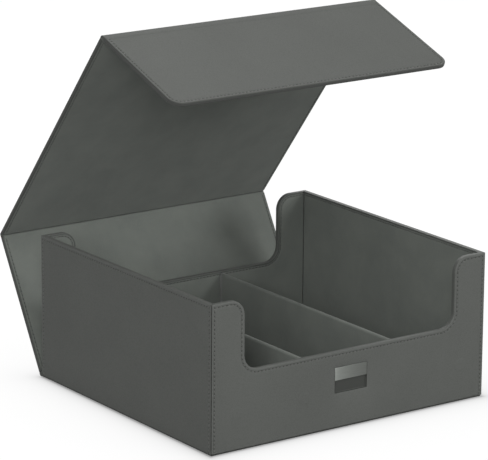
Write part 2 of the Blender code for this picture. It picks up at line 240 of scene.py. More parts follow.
def mouldedRecess():
    # Injection-moulded ABS with a spark-eroded satin texture: even, slightly sparkling, dark.
    material, tree, place = startMaterial("mouldedRecess")
    spark = addNode(tree, "TexNoise", {"Vector": place, "Scale": 1 / (plastic["spark"] * mm), "Detail": 3.0}, "Fac")
    colour = addNode(tree, "Mix", {0: spark, 6: linear(plastic["low"]), 7: linear(plastic["high"])},
                     2, data_type="RGBA")
    rough = addNode(tree, "MapRange", (spark, 0.3, 0.7, 0.46, 0.6), 0)
    finishMaterial(tree, {"Base Color": colour, "Roughness": rough, "Specular IOR Level": 0.25},
                   spark, plastic["relief"] * mm)
    return material


pulp = {"low": "#7c7870", "high": "#9a958b", "fibre": 0.8, "layers": 2.5, "relief": 0.03}  # fibre and relief in mm


def pressedGreyboard():
    # Recycled greyboard, pressed from pulp: flecked fibres, dull, with a cut edge in thin layers.
    material, tree, place = startMaterial("pressedGreyboard")
    flat = addNode(tree, "Mapping", {"Vector": place, "Scale": (1.0, 1.0, pulp["layers"])}, "Vector")
    fibre = addNode(tree, "TexNoise", {"Vector": flat, "Scale": 1 / (pulp["fibre"] * mm),
                    "Detail": 6.0, "Roughness": 0.7}, "Fac")
    flecks = addNode(tree, "MapRange", (fibre, 0.35, 0.65, 0.0, 1.0), 0)
    colour = addNode(tree, "Mix", {0: flecks, 6: linear(pulp["low"]), 7: linear(pulp["high"])},
                     2, data_type="RGBA")
    rough = addNode(tree, "MapRange", (fibre, 0.3, 0.7, 0.88, 0.98), 0)
    finishMaterial(tree, {"Base Color": colour, "Roughness": rough}, fibre, pulp["relief"] * mm)
    return material


plating = {"low": "#b9b6ad", "high": "#cfcdc5", "peel": 0.6, "relief": 0.01}  # peel and relief in mm


def platedMagnet():
    # Neodymium disc plated with nickel by tumbling: bright, with a faint orange-peel surface.
    material, tree, place = startMaterial("platedMagnet")
    peel = addNode(tree, "TexNoise", {"Vector": place, "Scale": 1 / (plating["peel"] * mm), "Detail": 2.0}, "Fac")
    colour = addNode(tree, "Mix", {0: peel, 6: linear(plating["low"]), 7: linear(plating["high"])},
                     2, data_type="RGBA")
    rough = addNode(tree, "MapRange", (peel, 0.3, 0.7, 0.2, 0.32), 0)
    finishMaterial(tree, {"Base Color": colour, "Metallic": 1.0, "Roughness": rough}, peel, plating["relief"] * mm)
    return material


finishes = {
    "leatherette": rolledLeatherette(), "suede_lining": brushedSuede(), "thread": bondedThread(),
    "brushed_plate": brushedNickel(), "dark_recess": mouldedRecess(), "greyboard": pressedGreyboard(),
    "magnet": platedMagnet(),
}
print("materials made:", len(finishes))


def pointsOn(stretch, count):
    # points at equal steps along a straight line or an arc, its end left to the next stretch
    share = np.arange(count) / count
    if stretch[0] == "line":
        start, end = np.array(stretch[1]), np.array(stretch[2])
        return start + (end - start) * share[:, None]
    centre, radius, first, last = stretch[1:5]
    angle = np.radians(first + (last - first) * share)
    return np.column_stack((centre[0] + radius * np.cos(angle), centre[1] + radius * np.sin(angle)))


def lengthOf(stretch):
    if stretch[0] == "line":
        return math.dist(stretch[1], stretch[2])
    return abs(math.radians(stretch[4] - stretch[3])) * stretch[2]


def shallow(inset):
    # an inset that hardly grows past the rounded edge, for edges that no stitch line follows
    return inset if inset < 0.85 else 0.85 + (inset - 0.85) * 0.12


def outlineOf(shape):
    # The columns are counted once, on the stitch line, so that every row has the same ones:
    # whole stitches on a sewn stretch, and a point each 9 mm elsewhere.
    counts, sewn, holes = [], [], []
    inset, share = stitching["fromEdge"], stitching["holeShare"]
    for stretch in shape(inset, inset, shallow(inset), 0.0):
        isSewn = stretch[-1]
        stitches = max(2, round(lengthOf(stretch) / stitching["pitch" if isSewn else "plainStep"]))
        number = stitches * (len(share) if isSewn else 1)
        counts.append(number)
        sewn += [isSewn] * number
        holes += list(share) * stitches if isSewn else [0.0] * number

    def at(rim, side, fold, depth=0.0):
        return np.vstack([pointsOn(s, n) for s, n in zip(shape(rim, side, fold, depth), counts)])

    return {"at": at, "sewn": np.array(sewn, float), "holes": np.array(holes, float)}


def wallShape(halfWidth, hasCut, sidesSewn):
    # A wall seen from outside, anticlockwise from its lower left corner. Its ends are mitred, so it
    # narrows with depth. The front and rear ones have a cut-out with rounded corners.
    halfCut = case["width"] / 2 - case["post"]
    radius = case["cutRadius"]

    def shape(rim, side, fold, depth):
        x = halfWidth - side - depth - case["seam"]
        low, high = case["foot"] + fold, case["height"] - rim
        lines = [("line", (-x, low), (x, low), False), ("line", (x, low), (x, high), sidesSewn)]
        if hasCut:
            shoulder, shoulderZ = halfCut + radius, case["height"] - radius
            cheek, cheekZ = halfCut - radius, case["cutFloor"] + radius
            lines += [
                ("line", (x, high), (shoulder, high), True),
                ("arc", (shoulder, shoulderZ), radius - rim, 90, 180, True),
                ("line", (halfCut + rim, shoulderZ), (halfCut + rim, cheekZ), True),
                ("arc", (cheek, cheekZ), radius + rim, 0, -90, True),
                ("line", (cheek, case["cutFloor"] - rim), (-cheek, case["cutFloor"] - rim), True),
                ("arc", (-cheek, cheekZ), radius + rim, 270, 180, True),
                ("line", (-halfCut - rim, cheekZ), (-halfCut - rim, shoulderZ), True),
                ("arc", (-shoulder, shoulderZ), radius - rim, 0, 90, True),
                ("line", (-shoulder, high), (-x, high), True),
            ]
        else:
            lines.append(("line", (x, high), (-x, high), True))
        lines.append(("line", (-x, high), (-x, low), sidesSewn))
        return lines
    return shape


def panelShape(start, end, isFree):
    # A cover panel, seen flat, from its fold at the start. The flap's far end is free and rounded.
    def shape(rim, side, fold, depth):
        x = case["width"] / 2 - rim
        low = start + fold
        if not isFree:
            high = end - fold
            return [("line", (-x, low), (x, low), False), ("line", (x, low), (x, high), True),
                    ("line", (x, high), (-x, high), False), ("line", (-x, high), (-x, low), True)]
        high = end - rim
        corner = case["flapRadius"] - rim
        return [("line", (-x, low), (x, low), False), ("line", (x, low), (x, high - corner), True),
                ("arc", (x - corner, high - corner), corner, 0, 90, True),
                ("line", (x - corner, high), (corner - x, high), True),
                ("arc", (corner - x, high - corner), corner, 90, 180, True),
                ("line", (-x, high - corner), (-x, low), True)]
    return shape


def plainShape(left, right, low, high):
    # a plain rectangle
    def shape(rim, side, fold, depth):
        corners = [(left + rim, low + rim), (right - rim, low + rim),
                   (right - rim, high - rim), (left + rim, high - rim)]
        return [("line", a, b, False) for a, b in zip(corners, corners[1:] + corners[:1])]
    return shape


def onWall(x, y, turn):
    # a wall's flat drawing stood up at its outer face, which is turned about the vertical
    c, s = round(math.cos(math.radians(turn))), round(math.sin(math.radians(turn)))

    def place(flat, depth):
        u, v = flat[:, 0], flat[:, 1]
        return np.column_stack((x + c * u - s * depth, y + s * u + c * depth, v))
    return place


def onPanel(fold):
    # a panel's flat drawing laid along its direction from the fold's axis, outer face first
    angle = math.radians(folds[fold]["after"])
    c, s = math.cos(angle), math.sin(angle)
    y, z = folds[fold]["axis"]

    def place(flat, depth):
        lift = depth - case["panel"] / 2
        return np.column_stack((flat[:, 0], y + c * flat[:, 1] - s * lift, z + s * flat[:, 1] + c * lift))
    return place


def onLevel(base):
    # a drawing laid level, with its depth counted downwards from the given height
    def place(flat, depth):
        return np.column_stack((flat[:, 0], flat[:, 1], base - depth))
    return place


def makePiece(name, points, faces, finish, body=None, **attributes):
    # Puts the points, in millimetres, into a mesh. A closed shell that comes out inside out is
    # turned round, which the sign of its volume shows.
    points = np.asarray(points) * mm
    triangles = np.array([f[:3] for f in faces] + [(f[0], f[2], f[3]) for f in faces if len(f) == 4])
    a, b, c = (points[triangles[:, i]] for i in range(3))
    if np.einsum("ij,ij->i", a, np.cross(b, c)).sum() < 0:
        faces = [f[::-1] for f in faces]
    mesh = bpy.data.meshes.new(name)
    mesh.from_pydata(points.tolist(), [], faces)
    mesh.shade_smooth()
    for key, values in attributes.items():
        layer = mesh.attributes.new(key, "FLOAT", "POINT")
        layer.data.foreach_set("value", np.asarray(values, np.float32))
    mesh.materials.append(finishes[finish])
    piece = bpy.data.objects.new(name, mesh)
    bpy.context.scene.collection.objects.link(piece)
    if body:
        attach(piece, body)
    return piece


def insideLoop(points, loop):
    # counts how often a ray from each point towards +u crosses the loop
    a, b = loop, np.roll(loop, -1, axis=0)
    spans = (a[:, 1] > points[:, 1:2]) != (b[:, 1] > points[:, 1:2])
    rise = np.where(b[:, 1] == a[:, 1], 1.0, b[:, 1] - a[:, 1])
    crossing = (b[:, 0] - a[:, 0]) * (points[:, 1:2] - a[:, 1]) / rise + a[:, 0]
    return (spans & (points[:, 0:1] < crossing)).sum(axis=1) % 2 == 1


def fillLoop(loop, inner, hole):
    # Delaunay triangles over a flat face: its loop, the points inside it and an open rectangle.
    # Returns corner numbers that count the loop first, then the inner points, then the hole.
    points = np.vstack((loop, inner, hole))
    count, first = len(loop), len(loop) + len(inner)
    edges = [(i, (i + 1) % count) for i in range(count)]
    edges += [(first + i, first + (i + 1) % len(hole)) for i in range(len(hole))]
    found = delaunay_2d_cdt([Vector(p) for p in points.tolist()], edges, [], 1, 1e-6)
    number = np.array([origin[0] for origin in found[3]])
    triangles = number[np.array(found[2])]
    if len(hole):
        triangles = triangles[~insideLoop(points[triangles].mean(axis=1), hole)]
    return triangles


filling = {"inset": 9.5, "fromFold": 2.0, "step": 16.0,  # the lattice, in mm
           "clear": 11.0, "around": 24, "rings": (1.8, 3.4, 4.4, 4.9, 5.4, 5.9, 6.5, 7.4)}  # at a magnet's mark


def innerPoints(outline, marks):
    # A square lattice well inside the outline, and rings round each mark where the face swells.
    inset, step = filling["inset"], filling["step"]
    edge = outline["at"](inset, inset, shallow(inset) + filling["fromFold"])
    low, high = edge.min(axis=0), edge.max(axis=0)
    across, up = (np.arange(low[i] + step / 2, high[i], step) for i in (0, 1))
    lattice = np.array(np.meshgrid(across, up)).reshape(2, -1).T
    lattice = lattice[insideLoop(lattice, edge)]
    for mark in marks:
        lattice = lattice[np.hypot(*(lattice - mark).T) > filling["clear"]]
    angle = np.linspace(0, 2 * np.pi, filling["around"], endpoint=False)
    circle = np.column_stack((np.cos(angle), np.sin(angle)))
    return np.vstack([lattice] + [mark + r * circle for mark in marks for r in filling["rings"]])


def swell(points, marks):
    # height of the skin over each magnet: flat on top, falling away past the magnet's radius
    height = np.zeros(len(points))
    for mark in marks:
        past = (np.hypot(*(points - mark).T) - magnets["radius"]) / magnets["fade"]
        height += magnets["mark"] * (0.5 + 0.5 * np.cos(np.pi * np.clip(past + 0.5, 0, 1)))
    return height


def loopFaces(first, second, count):
    # quads from each first loop to its second, a loop being given by the number of its first point
    a, b = np.asarray(first)[..., None], np.asarray(second)[..., None]
    j = np.arange(count)
    k = (j + 1) % count
    return np.stack((a + j, a + k, b + k, b + j), axis=-1).reshape(-1, 4)


pocketEdge = ((0.45, 0.0), (0.28, 0.04), (0.13, 0.13), (0.04, 0.28), (0.0, 0.45))  # mm outwards, mm deep


def layeredSheet(name, outline, profile, place, finish, body, marks=(), pocket=None):
    # A closed sheet: the outline carried through a profile from its first face, over the edge, to its
    # second face. A profile row is inset from the rim, from the sides and from a plain edge, then
    # depth, share of the stitch groove, and a wear value: above zero on a sewn edge it is wear, below
    # zero, and on an edge with no stitches, it is painted shade, a dark edge. Both faces are
    # filled, and a pocket goes through both.
    sewn, holes, holeFrom = outline["sewn"], outline["holes"], stitching["holeFrom"]
    outward = 1 if profile[0][3] > profile[-1][3] else -1  # which way the first face looks
    points, worn, pit = [], [], []
    for rim, side, fold, depth, groove, wearOrShade in profile:
        flat = outline["at"](rim, side, fold, depth)
        pierced = holes * np.clip((groove - holeFrom) / (1 - holeFrom), 0, 1)  # how far inside the needle holes
        sunk = groove * stitching["groove"] * sewn + pierced * stitching["hole"]
        points.append(place(flat, depth - outward * sunk))
        worn.append(sewn * max(wearOrShade, 0))
        # painted shade: the stitch groove is darkened and the needle holes are painted dark, by the pit attribute
        paintedGrooveShade = stitching["paintedGrooveShade"] * groove * (1 - pierced)
        plainEdge = min(1.5 * abs(wearOrShade), 0.8)  # painted shade on an edge with no stitches, darker than on a sewn one
        pit.append(pierced + np.where(sewn > 0, max(-wearOrShade, 0) + paintedGrooveShade, plainEdge))
    count = len(flat)
    starts = np.arange(len(profile)) * count
    faces = loopFaces(starts[:-1], starts[1:], count).tolist()
    total, holeStarts = len(profile) * count, []
    for row, last in ((profile[0], False), (profile[-1], True)):
        faceMarks = () if last else marks
        inner = innerPoints(outline, faceMarks)
        hole = pocket(0.0 if last else pocketEdge[0][0]) if pocket else np.empty((0, 2))
        triangles = fillLoop(outline["at"](*row[:4]), inner, hole)
        extra = np.vstack((inner, hole))
        points.append(place(extra, row[3] + outward * swell(extra, faceMarks)))
        worn.append(np.zeros(len(extra)))
        pit.append(np.zeros(len(extra)))
        number = np.where(triangles < count, triangles + (starts[-1] if last else 0), triangles - count + total)
        faces += (number if last else number[:, ::-1]).tolist()
        holeStarts.append(total + len(inner))
        total += len(extra)
    if pocket:
        faces += pocketWalls(points, worn, pit, total, pocket, place, profile[0][3], holeStarts)
    return makePiece(name, np.vstack(points), faces, finish, body, worn=np.concatenate(worn), pit=np.concatenate(pit))


def pocketWalls(points, worn, pit, total, pocket, place, face, holeStarts):
    # the pocket's edge, rounded over from the first face and straight through to the second
    ways = pocketEdge[1:]  # the first way is the opening left in the face
    size = len(pocket(0.0))
    loops = [holeStarts[0]] + [total + i * size for i in range(len(ways))] + [holeStarts[1]]
    for grow, depth in ways:
        points.append(place(pocket(grow), face + depth))
        worn.append(np.full(size, 0.7))
        pit.append(np.zeros(size))
    return loopFaces(loops[:-1], loops[1:], size)[:, [0, 3, 2, 1]].tolist()


def sewingThread(name, outline, depth, outward, place, body):
    # One short capsule for each stitch, from needle hole to needle hole. Its centre line rises from the
    # holes as a low power of a half sine, and its round section thins towards both ends.
    inset = stitching["fromEdge"]
    line = outline["at"](inset, inset, shallow(inset), depth)
    first = np.flatnonzero(outline["holes"] == 1)
    second = (first + len(stitching["holeShare"])) % len(line)
    level = np.full(len(first), depth)
    start, end = place(line[first], level), place(line[second], level)
    up = place(line[first], level + outward) - start
    along = (end - start) / np.linalg.norm(end - start, axis=1)[:, None]
    across = np.cross(along, up)
    rings, sides = 7, 6
    share = 0.5 - 0.5 * np.cos(np.pi * np.linspace(0.06, 0.94, rings))
    t = stitching["shown"][0] + (stitching["shown"][1] - stitching["shown"][0]) * share
    arch = np.sin(np.pi * share) ** 0.4
    rise = stitching["arch"] * arch - stitching["sunk"]  # mm from the face, sunk at the ends
    half = stitching["thread"] * (0.3 + 0.7 * arch)
    turn = np.linspace(0, 2 * np.pi, sides, endpoint=False)
    middle = start[:, None, :] + (end - start)[:, None, :] * t[None, :, None] + up[:, None, :] * rise[None, :, None]
    wide, high = half[:, None] * np.cos(turn), half[:, None] * stitching["flat"] * np.sin(turn)
    ring = across[:, None, None, :] * wide[None, :, :, None] + up[:, None, None, :] * high[None, :, :, None]
    points = (middle[:, :, None, :] + ring).reshape(-1, 3)
    base = np.arange(len(first))[:, None] * rings * sides
    starts, caps = base + np.arange(rings - 1) * sides, base + np.arange(sides)
    faces = loopFaces(starts, starts + sides, sides).tolist()
    faces += caps[:, ::-1].tolist() + (caps + (rings - 1) * sides).tolist()
    piece = makePiece(name, points, faces, "thread", body)


def arcRows(insetCentre, depthCentre, radius, first, last, steps, wearOrShade):
    # profile rows on a rounded edge: angle 90 is on the first face, 180 on the rim
    rows = []
    for angle in np.radians(np.linspace(first, last, steps)):
        inset = insetCentre + radius * math.cos(angle)
        rows.append((inset, inset, shallow(max(inset, 0)), depthCentre - radius * math.sin(angle), 0, wearOrShade))
    return rows


seamRows = ((7.5, 0), (4.6, 0), (3.7, 0), (3.35, 0.35), (3.05, 0.85), (2.8, 1), (2.55, 0.85),
            (2.25, 0.35))  # insets across the stitch line, each with its share of the groove


def skinProfile(total, turned, under, rimTone):
    # Leatherette turned over the board: flat face, stitch groove, a slightly raised band, rounded edge,
    # rim, an edge turned over by the given radius and a narrow lip that lies under the lining's level,
    # then back under itself as a pan for the board.
    flat = [(i, 0, groove, 0) for i, groove in seamRows]
    flat += [(1.9, -0.03, 0, 0.2), (1.4, -0.05, 0, 0.35), (1.0, -0.04, 0, 0.3)]
    rows = [(i, i, shallow(i), depth, groove, wearOrShade) for i, depth, groove, wearOrShade in flat]
    bend, centre = 0.7, 0.68  # the rounded edge's radius, and how deep its centre lies
    rows += arcRows(bend, centre, bend, 105, 120, 2, 0.8 * min(rimTone, 0.1))
    rows += arcRows(bend, centre, bend, 140, 180, 3, rimTone)
    turnAt = total - turned - under
    rows += [(i, i, i, depth, 0, rimTone) for i, depth in zip((0.0, -0.02, 0.0), np.linspace(0.9, turnAt - 0.1, 3))]
    rows += arcRows(turned, turnAt, turned, 180, 260, 6, rimTone)
    lip = max(1.3, turned)
    rows += [(i, i, min(i, 0.9), depth, 0, 0) for i, depth in (
        (lip, total - under - 0.07), (lip + 0.02, total - under - 0.35), (lip * 0.55, total - 0.78),
        (0.6, total - 1.2), (0.6, 1.4), (0.6, 0.6))]
    return rows


softEdge = ((1.62, 0.01), (1.45, 0.05), (1.36, 0.14), (1.33, 0.3), (1.33, 0.55))
wrappedEdge = ((1.5, 0.01), (1.15, 0.03), (0.85, 0.08), (0.62, 0.18), (0.48, 0.32), (0.45, 0.5), (0.5, 0.62),
               (1.95, 0.62))


def liningProfile(total, sideInset, edge):
    # Suede sheet with the same stitch line, from its open face over its edge, which is given as pairs of
    # inset and drop. The edge is painted darker as it drops, painted shade.
    flat = [(i, 0, groove) for i, groove in seamRows] + [(1.9, 0, 0)]
    rows = []
    for inset, drop, groove in flat + [pair + (0,) for pair in edge]:
        side = inset if sideInset is None else sideInset + 0.08 * inset
        rows.append((inset, side, 0.05 + 0.16 * inset, total - drop, groove, -min(5 * drop, 0.5)))
    return rows


# tray walls
recess = {"half": 15.8, "low": 29.25, "high": 50.55, "gap": 0.06, "corner": 0.5}


def recessPocket(grow):
    # rectangle round the plate's recess, with small corners, anticlockwise
    gap, r = recess["gap"], recess["corner"]
    x, low, high = recess["half"] + gap, recess["low"] - gap, recess["high"] + gap
    corners = [(x - r, high - r, 0), (r - x, high - r, 90), (r - x, low + r, 180), (x - r, low + r, 270)]
    return np.vstack([pointsOn(("arc", (u, v), r + grow, a, a + 90), 4) for u, v, a in corners])


walls = {  # half width, cut-out, place of the outer face, turn
    "front": (case["width"] / 2, True, (0, -case["depth"] / 2), 0),
    "rear": (case["width"] / 2, True, (0, case["depth"] / 2), 180),
    "left": (case["depth"] / 2, False, (-case["width"] / 2, 0), -90),
    "right": (case["depth"] / 2, False, (case["width"] / 2, 0), 90),
}
for side, (half, hasCut, spot, turn) in walls.items():
    place = onWall(*spot, turn)
    total = case["wall"]
    isFront = side == "front"
    marks = [(x, magnets["height"]) for x in magnets["across"]] if isFront else ()
    outer = outlineOf(wallShape(half, hasCut, True))
    # the rims take a little wear; along the unsewn foot the same value paints shade, a dark line
    rows = skinProfile(total, turned=0.7, under=0.05, rimTone=0.5)
    skin = layeredSheet(side + "WallSkin", outer, rows, place, "leatherette", "tray",
                        marks=marks, pocket=recessPocket if isFront else None)
    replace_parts(skin, side + "_outer_skin")
    sewingThread(side + "WallThread", outer, 0.0, -1, place, "tray")
    inner = outlineOf(wallShape(half, hasCut, False))
    rows = liningProfile(total, sideInset=0.05, edge=softEdge)
    lining = layeredSheet(side + "WallLining", inner, rows, place, "suede_lining", "tray")
    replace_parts(lining, side + "_lining")
    sewingThread(side + "LiningThread", inner, total, 1, place, "tray")
print("tray walls sewn")

# cover panels
panels = {"back_panel": ("backPanel", "rear", False), "top_panel": ("topPanel", "top", False),
          "flap": ("flap", "flap", True)}
foldEnd = case["panel"] / 2 + case["toFold"]
alongFlap = case["height"] + case["overRim"] + case["panel"] / 2 - magnets["height"]
for body, (title, fold, isFree) in panels.items():
    end = panelReach[body] - (0 if isFree else foldEnd)
    place = onPanel(fold)
    total = case["panel"]
    outline = outlineOf(panelShape(foldEnd, end, isFree))
    # the panels' rounded edges and rims are painted dark, painted shade
    rows = skinProfile(total, turned=0.8, under=0.15, rimTone=-0.55)
    skin = layeredSheet(title + "Skin", outline, rows, place, "leatherette", body)
    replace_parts(skin, body + "_skin")
    sewingThread(title + "Thread", outline, 0.0, -1, place, body)
    marks = [(x, alongFlap) for x in magnets["across"]] if isFree else ()
    rows = liningProfile(total, sideInset=None, edge=wrappedEdge)
    lining = layeredSheet(title + "Lining", outline, rows, place, "suede_lining", body, marks=marks)
    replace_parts(lining, body + "_lining")
    sewingThread(title + "LiningThread", outline, total, 1, place, body)
print("cover panels sewn")

# folds
foldBands = {"overlap": 6.6, "proud": 0.08, "inside": 1.0,  # the outer band's reach, lift and inner radius
             "liningOverlap": 4.4, "crease": 1.45, "core": 0.95,  # the inner band's reach and its two radii
             "leave": (2.12, 0.02),    # where the crease leaves a panel: along it, and above its lining
             "atTray": (200.9, 2.25),  # and where it leaves the tray: degrees, and distance from the axis
             "onSkin": 133.25, "onLining": 132.7, "atFold": 133.9}  # half widths


def directions(fold, which):
    # unit vectors (y, z) along a panel and towards its lining side
    angle = math.radians(folds[fold][which])
    return np.array((math.cos(angle), math.sin(angle))), np.array((-math.sin(angle), math.cos(angle)))


def carriedFaces(rows, count):
    # faces of a section that is carried along: quads from loop to loop, and a strip that closes each end
    starts, step = np.arange(rows) * count, np.arange(count // 2 - 1)
    strip = np.column_stack((step, count - 1 - step, count - 2 - step, step + 1))
    return np.vstack((loopFaces(starts[:-1], starts[1:], count), strip, starts[-1] + strip[:, ::-1])).tolist()


def carryBand(name, top, under, finish, dark, half):
    # A closed strip: the section between its top and under lines, carried across the case's width, with
    # a painted shade and a half width for each point. The last half millimetre at each end is painted dark
    # and thins towards the section's middle, which rounds the end.
    ends = np.array([0.0, 0.06, 0.2, 0.5]) / foldBands["atFold"]
    thick = np.array([0.35, 0.7, 0.92, 1.0])
    middleX = np.linspace(-0.98, 0.98, 45)
    x = np.concatenate((ends - 1, middleX, 1 - ends[::-1]))
    share = np.concatenate((thick, np.ones(len(middleX)), thick[::-1]))
    centre = (top + under) / 2
    loop = np.vstack((top, under[::-1]))
    core = np.vstack((centre, centre[::-1]))
    section = core[None] + (loop - core)[None] * share[:, None, None]
    across = x[:, None] * np.concatenate((half, half[::-1]))[None, :]
    points = np.concatenate((across[:, :, None], section), axis=2).reshape(-1, 3)
    pit = np.maximum(0.5 * (share[:, None] < 0.95), np.concatenate((dark, np.zeros(len(top))))[None, :])
    return makePiece(name, points, carriedFaces(len(x), len(loop)), finish, None, pit=pit.ravel())


def outerBand(fold, node, name):
    # Leatherette round the outside of a fold. From panel to panel it follows a circle about the fold's
    # axis.
    axis = np.array(folds[fold]["axis"])
    (dirA, upA), (dirB, upB) = directions(fold, "before"), directions(fold, "after")
    radius, inside, reach = case["panel"] / 2, foldBands["inside"], foldBands["overlap"]
    s = np.array([0.0, 1.2, 2.2, 2.8, 3.6, reach - 0.9, reach - 0.35, reach])
    lift = radius + foldBands["proud"] * np.array([0, 0, 0.4, 0.9, 1, 1, 0.7, -0.3])
    low = np.array([inside, inside, inside, 1.7, 1.76, 1.76, 1.76, 1.76])
    sA, liftA, lowA = s, lift, low
    if fold == "rear":  # the tongue under the tray
        sA, liftA = np.array([0.0, 2.0, 6.0, 13.4, 13.8]), np.array([1.8, 1.8, 1.8, 1.8, 1.6])
        lowA = np.full(len(sA), inside)
    sA, liftA, lowA = sA[::-1, None], liftA[::-1, None], lowA[::-1, None]
    arc = np.radians(np.linspace(folds[fold]["before"] - 90, folds[fold]["after"] - 90, 17))[1:-1]
    bend = np.column_stack((np.cos(arc), np.sin(arc)))
    top = np.vstack((-sA * dirA - liftA * upA, radius * bend, s[:, None] * dirB - lift[:, None] * upB))
    under = np.vstack((-sA * dirA - lowA * upA, inside * bend, s[:, None] * dirB - low[:, None] * upB))
    # painted shade along the middle of the fold's bend, a dark line
    dark = np.concatenate((np.zeros(len(sA)), 0.45 * np.sin(np.linspace(0, np.pi, len(arc))), np.zeros(len(s))))
    fromFold = np.concatenate((sA[:, 0], np.zeros(len(arc)), s))
    half = np.interp(fromFold, (1.2, 2.8), (foldBands["atFold"], foldBands["onSkin"]))  # narrower on a panel
    band = carryBand(name, axis + top, axis + under, "leatherette", dark, half)
    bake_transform(band)
    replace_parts(band, node)


def innerBand(fold, name):
    # Lining across the inside of a fold, with the soft core behind it. Its face leaves one panel, dips
    # towards the axis as a crease whose radius follows a square law, and comes up on the next panel. The
    # core's back runs down one panel's end, round inside the outer band and up the other panel's end.
    axis = np.array(folds[fold]["axis"])
    (dirA, upA), (dirB, upB) = directions(fold, "before"), directions(fold, "after")
    half, reach = case["panel"] / 2, foldBands["liningOverlap"]
    s = np.array([2.2, 2.45, 3.0, reach - 0.6, reach - 0.25, reach])
    lift = half + foldBands["proud"] * np.array([0.3, 0.9, 1, 1, 0.6, -0.3])
    low = half + np.array([-0.4, -0.3, -0.06, -0.06, -0.06, -0.06])
    leaveAlong, leaveUp = foldBands["leave"][0], half + foldBands["leave"][1]
    edge = math.hypot(leaveAlong, leaveUp)
    cornerTurn = math.degrees(math.atan2(leaveUp, leaveAlong))
    isRear = fold == "rear"
    first, firstRadius = foldBands["atTray"] if isRear else (folds[fold]["before"] + 180 - cornerTurn, edge)
    last = folds[fold]["after"] + cornerTurn
    t = np.linspace(0, 1, 15)
    fromEnd = np.abs(2 * t - 1) ** 2
    radius = foldBands["crease"] + (np.where(t < 0.5, firstRadius, edge) - foldBands["crease"]) * fromEnd
    angle = np.radians(first + (last - first) * t)
    bend = np.column_stack((np.cos(angle), np.sin(angle)))
    back = np.radians(np.linspace(folds[fold]["before"] - 90, folds[fold]["after"] - 90, 9))
    beside = np.array(((1.98, 1.2), (1.98, 0.1), (1.98, -0.9)))  # along a panel from the axis, towards its lining
    besideA = np.array(((2.0, -0.86), (1.5, -0.9), (1.0, -0.93))) if isRear else beside
    core = np.vstack((-besideA[:, :1] * dirA + besideA[:, 1:] * upA,
                      foldBands["core"] * np.column_stack((np.cos(back), np.sin(back))),
                      beside[::-1, :1] * dirB + beside[::-1, 1:] * upB))
    onPanels, plain = np.full(len(s), foldBands["onLining"]), np.zeros(len(s))
    topParts = [radius[:, None] * bend, s[:, None] * dirB + lift[:, None] * upB]
    underParts = [core, s[:, None] * dirB + low[:, None] * upB]
    # painted shade, deepest in the middle of the crease
    halfParts, darkParts = [foldBands["atFold"] - 0.5 * fromEnd, onPanels], [0.6 * (1 - fromEnd), plain]
    if not isRear:  # the rear crease starts on the tray itself
        topParts.insert(0, -s[::-1, None] * dirA + lift[::-1, None] * upA)
        underParts.insert(0, -s[::-1, None] * dirA + low[::-1, None] * upA)
        halfParts.insert(0, onPanels)
        darkParts.insert(0, plain)
    band = carryBand(name, axis + np.vstack(topParts), axis + np.vstack(underParts), "suede_lining",
                     np.concatenate(darkParts), np.concatenate(halfParts))
    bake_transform(band)


outerBand("rear", "rear_fold_strap", "rearFoldBand")
outerBand("top", "top_fold_strap", "topFoldBand")
outerBand("flap", "flap_fold_strap", "flapFoldBand")
innerBand("rear", "rearFoldCrease")
innerBand("top", "topFoldCrease")
innerBand("flap", "flapFoldCrease")
print("fold bands bent")

# inside of the tray
insideTray = {"floorTop": 4.4, "floorThick": 0.6, "floorEdge": 0.3, "gap": 0.05,  # gap at the walls and the floor
              "dividerX": (-43.9, 43.9), "dividerHalf": 1.9, "dividerTop": 62.0, "dividerThick": 0.6}


def roundedEdge(radius, angles):
    # pairs of inset and drop round a quarter circle
    return [(radius - radius * math.sin(a), radius - radius * math.cos(a)) for a in np.radians(angles)]


def softSheet(thick, edge):
    # pairs of inset and drop for a flat sheet with one rounded edge
    return [(7.5, 0.0), (3.0, 0.0), (1.2, 0.0)] + roundedEdge(edge, (15, 35, 55, 75, 90)) + [(0, thick)]


def divider(name, x):
    # Lining sleeve over a divider board: its section, two straight sides and a half circle on top, is
    # carried from the front wall to the rear wall, with the sleeve's own thickness inside.
    half, thick = insideTray["dividerHalf"], insideTray["dividerThick"]
    foot, fold = insideTray["floorTop"] + insideTray["gap"], insideTray["dividerTop"] - half
    angle = np.radians(np.linspace(0, 180, 17))
    rise = np.array([0.0, 0.25, 0.8, 2.0, 20.0, 40.0])
    flare = np.array([0.35, 0.12, 0.03, 0.0, 0.0, 0.0])  # the sleeve turns out a little where it meets the floor

    def section(radius, spreadOut):
        left = np.column_stack((radius + spreadOut * flare, foot + rise))
        top = np.column_stack((radius * np.cos(angle), fold + radius * np.sin(angle)))
        return np.vstack((left, top, left[::-1] * (-1, 1)))
    outer, inner = section(half, 1.0), section(half - thick, 0.0)
    loop = np.vstack((outer, inner[::-1]))
    y = np.linspace(-halfY, halfY, 40)
    points = np.column_stack((np.tile(loop[:, 0] + x, len(y)), np.repeat(y, len(loop)), np.tile(loop[:, 1], len(y))))
    piece = makePiece(name + "Sleeve", points, carriedFaces(len(y), len(loop)), "suede_lining", "tray")
    return piece


halfX, halfY = (case[side] / 2 - case["wall"] - insideTray["gap"] for side in ("width", "depth"))
floorOutline = outlineOf(plainShape(-halfX, halfX, -halfY, halfY))
floorRows = [(i, i, i, drop, 0, 0) for i, drop in softSheet(insideTray["floorThick"], insideTray["floorEdge"])]
floorPlace = onLevel(insideTray["floorTop"])
floorLining = layeredSheet("floorLining", floorOutline, floorRows, floorPlace, "suede_lining", "tray")
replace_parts(floorLining, "floor_lining")
for title, node, x in zip(("leftDivider", "rightDivider"), ("left_divider", "right_divider"), insideTray["dividerX"]):
    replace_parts(divider(title, x), node + "_sleeve")
print("tray lined")

